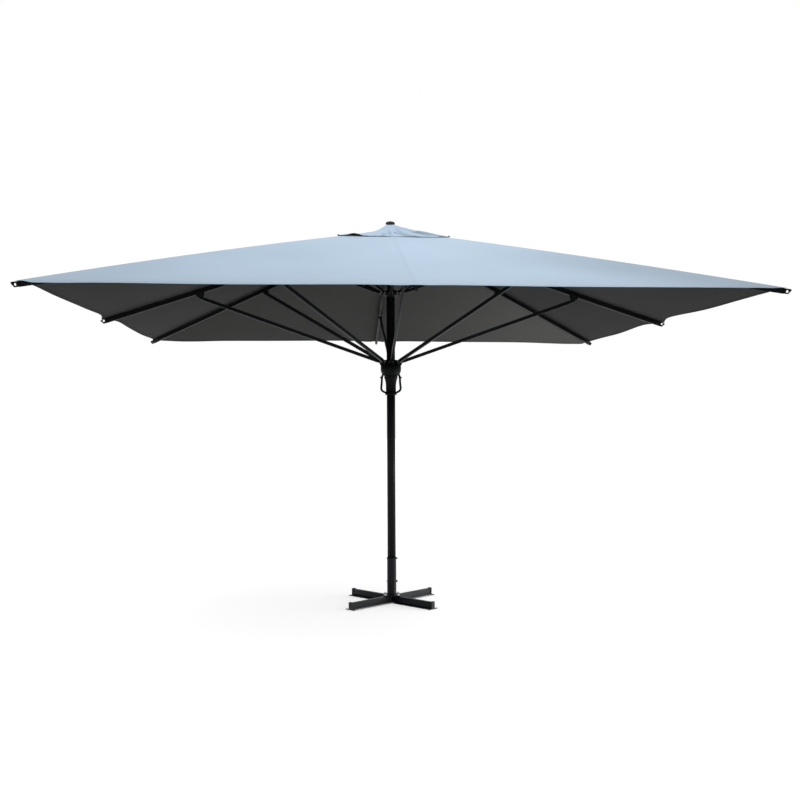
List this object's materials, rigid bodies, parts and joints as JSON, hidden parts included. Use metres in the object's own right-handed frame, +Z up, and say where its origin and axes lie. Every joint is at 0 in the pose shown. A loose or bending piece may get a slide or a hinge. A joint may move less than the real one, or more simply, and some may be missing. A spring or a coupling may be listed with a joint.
{
  "type": "patio umbrella with base",
  "caption": "Large square centre-pole patio umbrella with telescopic crown, folding ribs with struts and links, vent cap, locking runner and a steel cross base for ballast slabs.",
  "frame": {"origin": "on the ground under the mast's axis, at the centre of the box's bottom", "axes": "+Z up along the mast; the canopy's sides are parallel to X and Y; the front is towards -Y"},
  "size_m": [5.0888, 5.0888, 3.435],
  "materials": {
    "frame_black": "satin",
    "fittings_black": "matte",
    "base_steel": "satin",
    "black_plastic": "matte",
    "bright_steel": "polished",
    "dark_steel": "satin",
    "inner_aluminium": "satin",
    "canopy_fabric": "matte"
  },
  "bodies": {
    "mast": {"base_beam_long": "base_steel", "base_beam_short": "base_steel", "base_end_caps": "black_plastic", "base_sleeve": "base_steel", "base_bolts": "bright_steel", "sleeve_bolts": "dark_steel", "mast_tube": "frame_black", "mast_collar": "fittings_black", "collar_pins": "dark_steel", "mast_bush": "black_plastic"},
    "crown": {"inner_tube": "inner_aluminium", "crown_hub": "fittings_black", "crown_pins": "dark_steel", "finial": "black_plastic"},
    "runner": {"runner_hub": "fittings_black", "runner_sleeve": "fittings_black", "runner_bush": "black_plastic", "runner_pins": "dark_steel", "runner_handles": "fittings_black"},
    "lock_pin": {"lock_pin": "dark_steel"},
    "rib_front": {"rib_front": "frame_black", "rib_front_fittings": "fittings_black", "canopy_front": "canopy_fabric"},
    "strut_front": {"strut_front": "frame_black"},
    "link_front": {"link_front": "frame_black"},
    "rib_front_right": {"rib_front_right": "frame_black", "rib_front_right_fittings": "fittings_black", "canopy_front_right": "canopy_fabric"},
    "strut_front_right": {"strut_front_right": "frame_black"},
    "link_front_right": {"link_front_right": "frame_black"},
    "rib_right": {"rib_right": "frame_black", "rib_right_fittings": "fittings_black", "canopy_right": "canopy_fabric"},
    "strut_right": {"strut_right": "frame_black"},
    "link_right": {"link_right": "frame_black"},
    "rib_back_right": {"rib_back_right": "frame_black", "rib_back_right_fittings": "fittings_black", "canopy_back_right": "canopy_fabric"},
    "strut_back_right": {"strut_back_right": "frame_black"},
    "link_back_right": {"link_back_right": "frame_black"},
    "rib_back": {"rib_back": "frame_black", "rib_back_fittings": "fittings_black", "canopy_back": "canopy_fabric"},
    "strut_back": {"strut_back": "frame_black"},
    "link_back": {"link_back": "frame_black"},
    "rib_back_left": {"rib_back_left": "frame_black", "rib_back_left_fittings": "fittings_black", "canopy_back_left": "canopy_fabric"},
    "strut_back_left": {"strut_back_left": "frame_black"},
    "link_back_left": {"link_back_left": "frame_black"},
    "rib_left": {"rib_left": "frame_black", "rib_left_fittings": "fittings_black", "canopy_left": "canopy_fabric"},
    "strut_left": {"strut_left": "frame_black"},
    "link_left": {"link_left": "frame_black"},
    "rib_front_left": {"rib_front_left": "frame_black", "rib_front_left_fittings": "fittings_black", "canopy_front_left": "canopy_fabric"},
    "strut_front_left": {"strut_front_left": "frame_black"},
    "link_front_left": {"link_front_left": "frame_black"}
  },
  "joints": [
    {"name": "fold", "type": "hinge", "parent": "mast", "child": "link_left", "pos_m": [-0.09, 0, 2.78895], "axis": [0, 1, 0], "range_deg": [0, 69]},
    {"name": "rib_left_on_link", "type": "hinge", "parent": "link_left", "child": "rib_left", "pos_m": [-0.79887, 0, 3.03998], "axis": [0, -1, 0], "range_deg": [0, 138.02], "deforming": ["canopy_left"]},
    {"name": "crown_on_rib_left", "type": "hinge", "parent": "rib_left", "child": "crown", "pos_m": [-0.09, 0, 3.291], "axis": [0, 1, 0], "range_deg": [0, 69.02]},
    {"name": "rib_front_hinge", "type": "hinge", "parent": "crown", "child": "rib_front", "pos_m": [0, -0.09, 3.291], "axis": [1, 0, 0], "range_deg": [0, 69.02], "deforming": ["canopy_front"]},
    {"name": "link_front_hinge", "type": "hinge", "parent": "mast", "child": "link_front", "pos_m": [0, -0.09, 2.78895], "axis": [-1, 0, 0], "range_deg": [0, 69.02]},
    {"name": "rib_front_right_hinge", "type": "hinge", "parent": "crown", "child": "rib_front_right", "pos_m": [0.06364, -0.06364, 3.291], "axis": [0.7071, 0.7071, 0], "range_deg": [0, 74.72], "deforming": ["canopy_front_right"]},
    {"name": "link_front_right_hinge", "type": "hinge", "parent": "mast", "child": "link_front_right", "pos_m": [0.06364, -0.06364, 2.78895], "axis": [-0.7071, -0.7071, 0], "range_deg": [0, 62.7]},
    {"name": "rib_right_hinge", "type": "hinge", "parent": "crown", "child": "rib_right", "pos_m": [0.09, 0, 3.291], "axis": [0, 1, 0], "range_deg": [0, 69.02], "deforming": ["canopy_right"]},
    {"name": "link_right_hinge", "type": "hinge", "parent": "mast", "child": "link_right", "pos_m": [0.09, 0, 2.78895], "axis": [0, -1, 0], "range_deg": [0, 69.02]},
    {"name": "rib_back_right_hinge", "type": "hinge", "parent": "crown", "child": "rib_back_right", "pos_m": [0.06364, 0.06364, 3.291], "axis": [-0.7071, 0.7071, 0], "range_deg": [0, 74.72], "deforming": ["canopy_back_right"]},
    {"name": "link_back_right_hinge", "type": "hinge", "parent": "mast", "child": "link_back_right", "pos_m": [0.06364, 0.06364, 2.78895], "axis": [0.7071, -0.7071, 0], "range_deg": [0, 62.7]},
    {"name": "rib_back_hinge", "type": "hinge", "parent": "crown", "child": "rib_back", "pos_m": [0, 0.09, 3.291], "axis": [-1, 0, 0], "range_deg": [0, 69.02], "deforming": ["canopy_back"]},
    {"name": "link_back_hinge", "type": "hinge", "parent": "mast", "child": "link_back", "pos_m": [0, 0.09, 2.78895], "axis": [1, 0, 0], "range_deg": [0, 69.02]},
    {"name": "rib_back_left_hinge", "type": "hinge", "parent": "crown", "child": "rib_back_left", "pos_m": [-0.06364, 0.06364, 3.291], "axis": [-0.7071, -0.7071, 0], "range_deg": [0, 74.72], "deforming": ["canopy_back_left"]},
    {"name": "link_back_left_hinge", "type": "hinge", "parent": "mast", "child": "link_back_left", "pos_m": [-0.06364, 0.06364, 2.78895], "axis": [0.7071, 0.7071, 0], "range_deg": [0, 62.7]},
    {"name": "rib_front_left_hinge", "type": "hinge", "parent": "crown", "child": "rib_front_left", "pos_m": [-0.06364, -0.06364, 3.291], "axis": [0.7071, -0.7071, 0], "range_deg": [0, 74.72], "deforming": ["canopy_front_left"]},
    {"name": "link_front_left_hinge", "type": "hinge", "parent": "mast", "child": "link_front_left", "pos_m": [-0.06364, -0.06364, 2.78895], "axis": [-0.7071, 0.7071, 0], "range_deg": [0, 62.7]},
    {"name": "strut_front_hinge", "type": "hinge", "parent": "rib_front", "child": "strut_front", "pos_m": [0, -1.67364, 2.7302], "axis": [-1, 0, 0], "range_deg": [0, 138.02]},
    {"name": "strut_right_hinge", "type": "hinge", "parent": "rib_right", "child": "strut_right", "pos_m": [1.67364, 0, 2.7302], "axis": [0, -1, 0], "range_deg": [0, 138.02]},
    {"name": "strut_back_hinge", "type": "hinge", "parent": "rib_back", "child": "strut_back", "pos_m": [0, 1.67364, 2.7302], "axis": [1, 0, 0], "range_deg": [0, 138.02]},
    {"name": "strut_left_hinge", "type": "hinge", "parent": "rib_left", "child": "strut_left", "pos_m": [-1.67364, 0, 2.7302], "axis": [0, 1, 0], "range_deg": [0, 138.02]},
    {"name": "runner_on_strut_left", "type": "hinge", "parent": "strut_left", "child": "runner", "pos_m": [-0.09, 0, 2.16941], "axis": [0, -1, 0], "range_deg": [0, 69.02]},
    {"name": "strut_front_right_hinge", "type": "hinge", "parent": "runner", "child": "strut_front_right", "pos_m": [0.06364, -0.06364, 2.16941], "axis": [-0.7071, -0.7071, 0], "range_deg": [0, 62.7]},
    {"name": "strut_back_right_hinge", "type": "hinge", "parent": "runner", "child": "strut_back_right", "pos_m": [0.06364, 0.06364, 2.16941], "axis": [0.7071, -0.7071, 0], "range_deg": [0, 62.7]},
    {"name": "strut_back_left_hinge", "type": "hinge", "parent": "runner", "child": "strut_back_left", "pos_m": [-0.06364, 0.06364, 2.16941], "axis": [0.7071, 0.7071, 0], "range_deg": [0, 62.7]},
    {"name": "strut_front_left_hinge", "type": "hinge", "parent": "runner", "child": "strut_front_left", "pos_m": [-0.06364, -0.06364, 2.16941], "axis": [-0.7071, 0.7071, 0], "range_deg": [0, 62.7]},
    {"name": "lock", "type": "slide", "parent": "runner", "child": "lock_pin", "axis": [0, -1, 0], "range_m": [0, 0.008]}
  ],
  "couplings": [
    {"joint": "rib_left_on_link", "follows": "fold", "ratio": 2},
    {"joint": "crown_on_rib_left", "follows": "fold", "ratio": 1},
    {"joint": "rib_front_hinge", "follows": "fold", "ratio": 1},
    {"joint": "link_front_hinge", "follows": "fold", "ratio": 1},
    {"joint": "rib_front_right_hinge", "follows": "fold", "ratio": 1.0826},
    {"joint": "link_front_right_hinge", "follows": "fold", "ratio": 0.90843},
    {"joint": "rib_right_hinge", "follows": "fold", "ratio": 1},
    {"joint": "link_right_hinge", "follows": "fold", "ratio": 1},
    {"joint": "rib_back_right_hinge", "follows": "fold", "ratio": 1.0826},
    {"joint": "link_back_right_hinge", "follows": "fold", "ratio": 0.90843},
    {"joint": "rib_back_hinge", "follows": "fold", "ratio": 1},
    {"joint": "link_back_hinge", "follows": "fold", "ratio": 1},
    {"joint": "rib_back_left_hinge", "follows": "fold", "ratio": 1.0826},
    {"joint": "link_back_left_hinge", "follows": "fold", "ratio": 0.90843},
    {"joint": "rib_front_left_hinge", "follows": "fold", "ratio": 1.0826},
    {"joint": "link_front_left_hinge", "follows": "fold", "ratio": 0.90843},
    {"joint": "strut_front_hinge", "follows": "fold", "ratio": 2},
    {"joint": "strut_right_hinge", "follows": "fold", "ratio": 2},
    {"joint": "strut_back_hinge", "follows": "fold", "ratio": 2},
    {"joint": "strut_left_hinge", "follows": "fold", "ratio": 2},
    {"joint": "runner_on_strut_left", "follows": "fold", "ratio": 1},
    {"joint": "strut_front_right_hinge", "follows": "fold", "ratio": 0.90843},
    {"joint": "strut_back_right_hinge", "follows": "fold", "ratio": 0.90843},
    {"joint": "strut_back_left_hinge", "follows": "fold", "ratio": 0.90843},
    {"joint": "strut_front_left_hinge", "follows": "fold", "ratio": 0.90843}
  ]
}
